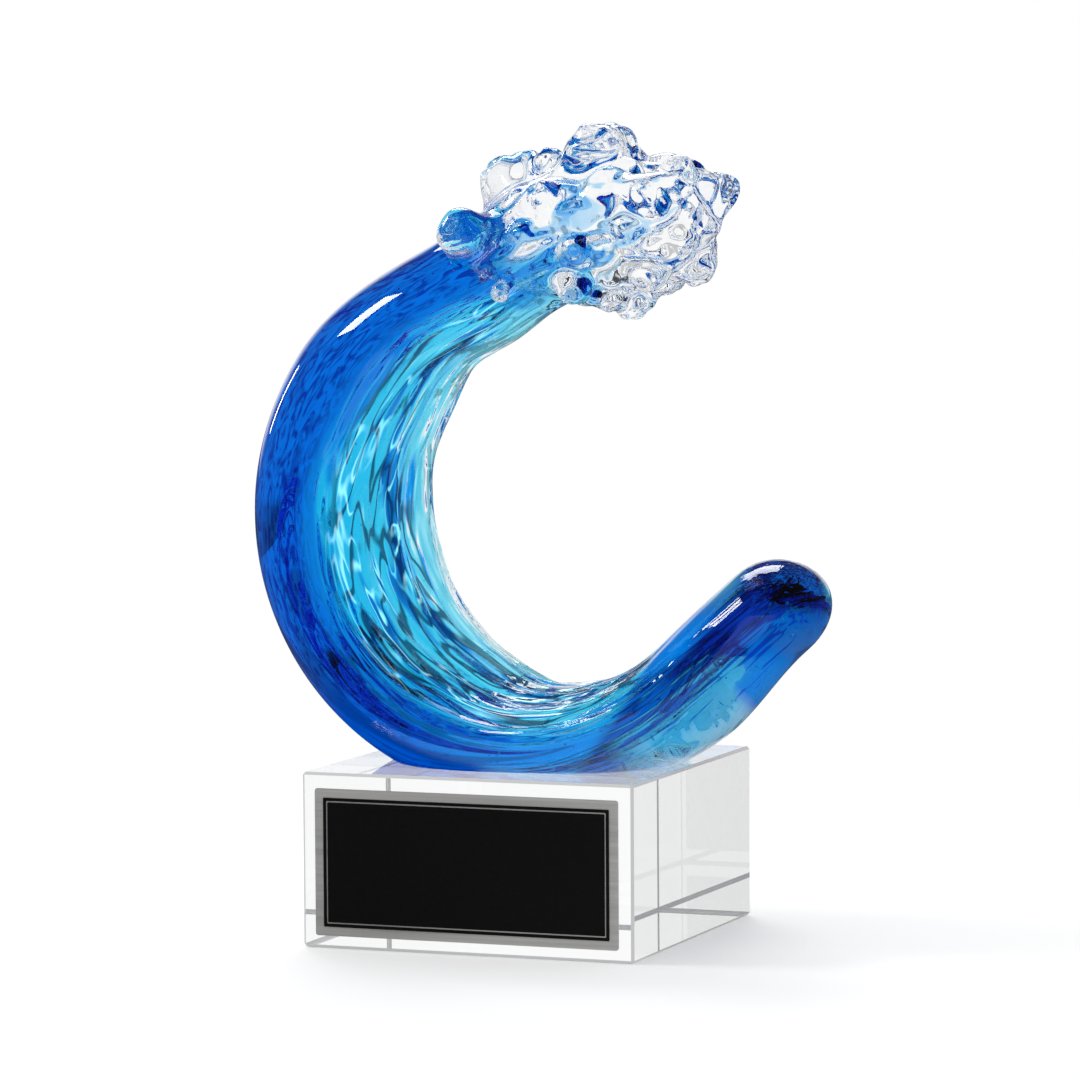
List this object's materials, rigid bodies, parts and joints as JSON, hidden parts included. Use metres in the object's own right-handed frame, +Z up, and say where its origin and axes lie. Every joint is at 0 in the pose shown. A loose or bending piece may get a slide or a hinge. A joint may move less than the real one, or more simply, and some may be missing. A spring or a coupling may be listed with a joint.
{
  "type": "glass wave sculpture",
  "caption": "Hot-worked blue glass wave with a clear foam crest, bonded to a clear crystal block with a blank plate; a free-standing ornament or award.",
  "frame": {"origin": "middle of the crystal block's underside", "axes": "+Z up, -Y out of the front face that carries the plate, +X towards the wave's tail"},
  "size_m": [0.1722, 0.101, 0.2331],
  "materials": {
    "crystal": "polished clear optical crystal with a fine bevel",
    "blue_glass": "fire-polished cobalt and aqua streaked glass",
    "clear_glass": "fire-polished clear glass with swirls",
    "adhesive": "clear adhesive layer",
    "brushed_plate": "silver with a long horizontal brush",
    "black_enamel": "satin black enamel, blank"
  },
  "bodies": {
    "root": {"base_block": "crystal", "foot_glue": "adhesive", "wave_body": "blue_glass", "clear_casing": "clear_glass", "crest_core": "clear_glass", "plate_tape": "adhesive", "plate_sheet": "brushed_plate", "plate_black_band": "black_enamel", "plate_black_field": "black_enamel", "foam_bead_01": "clear_glass", "foam_bead_02": "clear_glass", "foam_bead_03": "clear_glass", "foam_bead_04": "clear_glass", "foam_bead_05": "clear_glass", "foam_bead_06": "clear_glass", "foam_bead_07": "clear_glass", "foam_bead_08": "clear_glass", "foam_bead_09": "clear_glass", "foam_bead_10": "clear_glass", "foam_bead_11": "clear_glass", "foam_bead_12": "clear_glass", "foam_bead_13": "clear_glass", "foam_bead_14": "clear_glass", "foam_bead_15": "clear_glass", "foam_bead_16": "clear_glass", "foam_bead_17": "clear_glass", "foam_bead_18": "clear_glass", "foam_bead_19": "clear_glass", "foam_bead_20": "clear_glass", "foam_bead_21": "clear_glass", "foam_bead_22": "clear_glass", "foam_bead_23": "clear_glass", "foam_bead_24": "clear_glass", "foam_bead_25": "clear_glass", "foam_bead_26": "clear_glass", "foam_bead_27": "clear_glass", "foam_bead_28": "clear_glass", "foam_bead_29": "clear_glass", "foam_bead_30": "clear_glass", "foam_bead_31": "clear_glass", "foam_bead_32": "clear_glass", "foam_bead_33": "clear_glass", "foam_bead_34": "clear_glass", "foam_bead_35": "clear_glass", "foam_bead_36": "clear_glass", "foam_bead_37": "clear_glass", "foam_bead_38": "clear_glass", "foam_bead_39": "clear_glass", "foam_bead_40": "clear_glass", "foam_bead_41": "clear_glass", "foam_bead_42": "clear_glass", "foam_bead_43": "clear_glass", "foam_bead_44": "clear_glass", "foam_bead_45": "clear_glass", "foam_bead_46": "clear_glass", "foam_bead_47": "clear_glass", "foam_bead_48": "clear_glass", "foam_bead_49": "clear_glass", "foam_bead_50": "clear_glass"}
  },
  "joints": []
}
